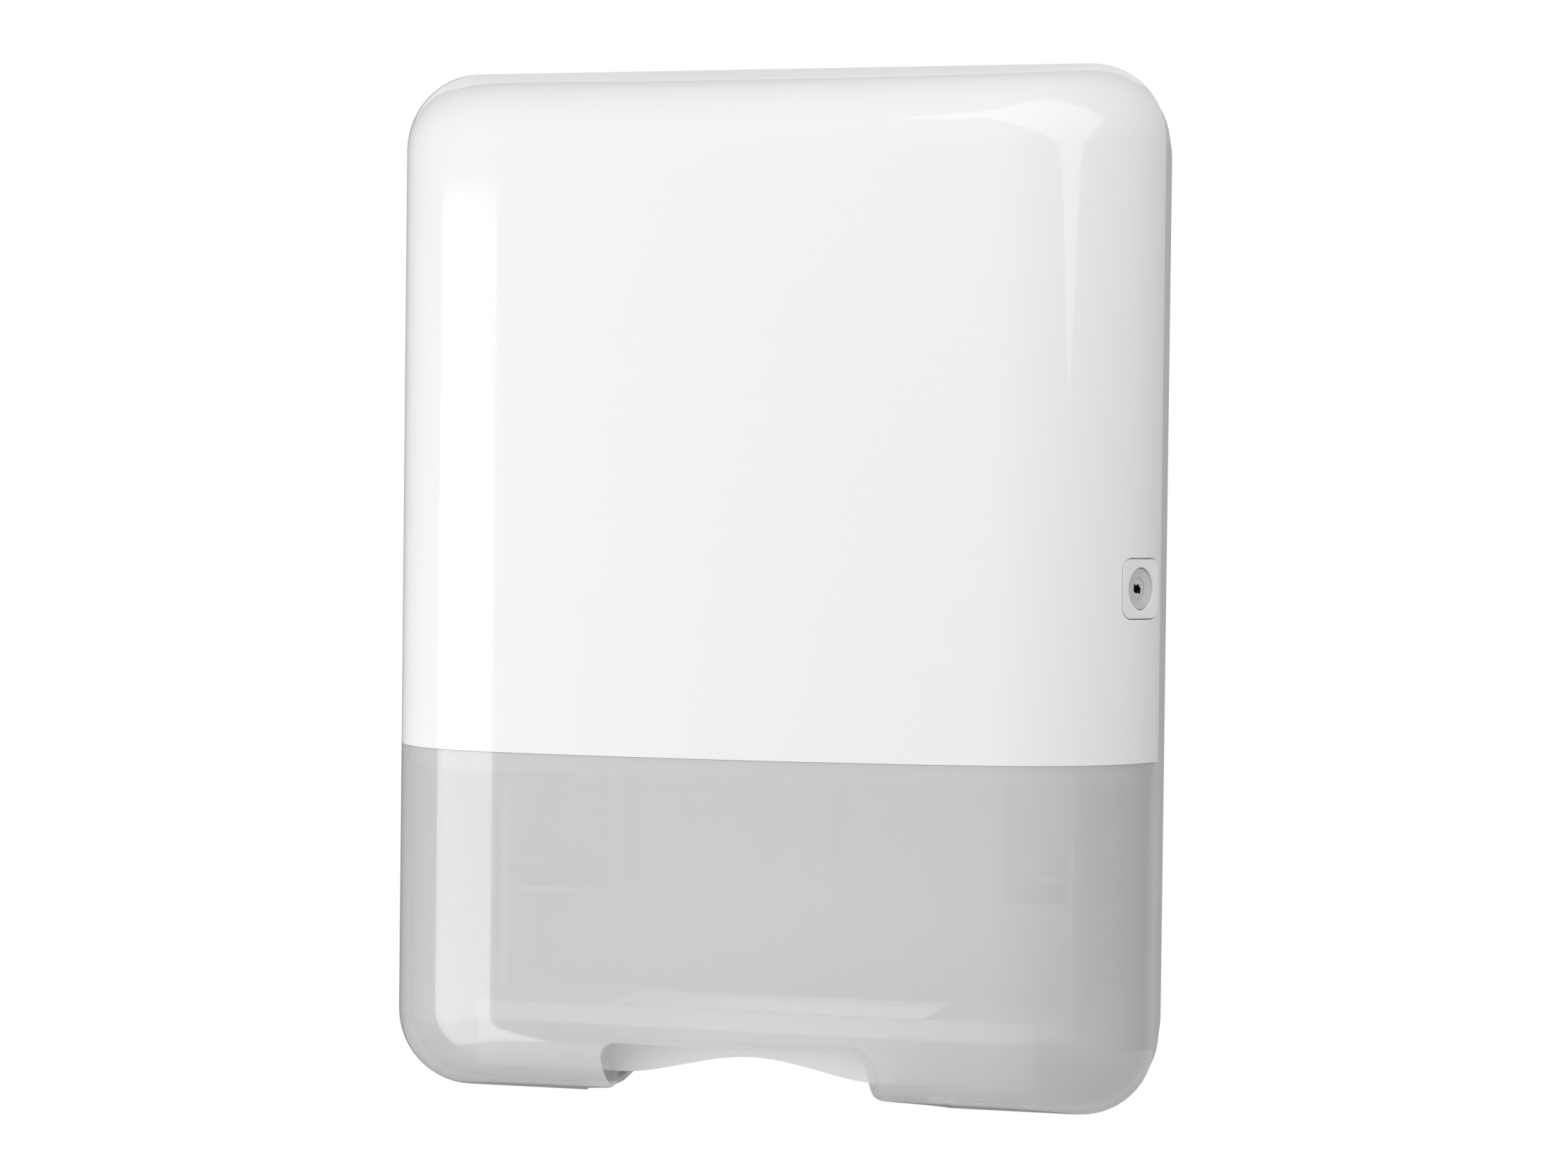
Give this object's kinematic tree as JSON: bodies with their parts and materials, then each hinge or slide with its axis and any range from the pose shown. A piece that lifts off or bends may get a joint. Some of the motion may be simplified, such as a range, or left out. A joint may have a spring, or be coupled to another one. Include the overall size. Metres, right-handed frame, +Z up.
{
  "type": "folded towel dispenser",
  "caption": "Wall-mounted dispenser for folded paper towels: hinged white cover with a smoke-grey window, push-button side lock and a notched towel outlet underneath.",
  "frame": {"origin": "middle of the flat back face that lies against the wall, at half the width and half the height", "axes": "+Y into the wall, so the front faces -Y; +Z up; +X to the right seen from the front"},
  "size_m": [0.333, 0.136, 0.439],
  "materials": {
    "white_gloss": "glossy moulded white plastic",
    "smoke_window": "glossy translucent smoke-grey plastic",
    "white_matte": "fine matte moulded white plastic",
    "white_satin": "satin moulded white plastic",
    "white_acetal": "satin white acetal",
    "grey_plastic": "satin light-grey plastic",
    "zinc_steel": "zinc-plated steel",
    "spring_steel": "bare spring steel"
  },
  "bodies": {
    "housing": {"rear_housing": "white_matte", "towel_tray": "white_satin", "side_guide_left": "white_matte", "side_guide_right": "white_matte", "guide_screws": "zinc_steel", "tray_screws": "zinc_steel", "hinge_pin_upper": "zinc_steel", "hinge_pin_lower": "zinc_steel", "latch_strike": "zinc_steel", "strike_screws": "zinc_steel"},
    "cover": {"cover_upper": "white_gloss", "cover_window": "smoke_window", "push_nuts": "spring_steel", "hinge_arm_upper": "white_acetal", "hinge_arm_lower": "white_acetal", "hinge_arm_screws": "zinc_steel", "lock_surround": "white_gloss", "lock_nut": "grey_plastic", "latch_pin": "zinc_steel", "button_spring": "spring_steel", "latch_spring": "spring_steel"},
    "button": {"lock_button": "grey_plastic", "button_stem": "grey_plastic", "retaining_ring": "spring_steel"},
    "key": {"key_core": "grey_plastic"},
    "latch": {"latch_lever": "white_acetal"}
  },
  "joints": [
    {"name": "cover_swing", "type": "hinge", "parent": "housing", "child": "cover", "pos_m": [-0.1575, -0.06, 0], "axis": [0, 0, -1], "range_deg": [0, 110]},
    {"name": "button_press", "type": "slide", "parent": "cover", "child": "button", "axis": [-0.9011, 0.4337, 0], "range_m": [0, 0.003], "stiffness_N_per_m": 900, "springref_m": -0.002, "deforming": ["button_spring"]},
    {"name": "key_turn", "type": "hinge", "parent": "button", "child": "key", "pos_m": [0.16122, -0.08683, 0.0013], "axis": [-0.9011, 0.4337, 0], "range_deg": [0, 90]},
    {"name": "latch_turn", "type": "hinge", "parent": "cover", "child": "latch", "pos_m": [0.13598, -0.10215, 0.0013], "axis": [0, 0, 1], "range_deg": [0, 7], "deforming": ["latch_spring"]}
  ],
  "couplings": [
    {"joint": "latch_turn", "follows": "button_press", "rad_per_m": 40.404}
  ]
}
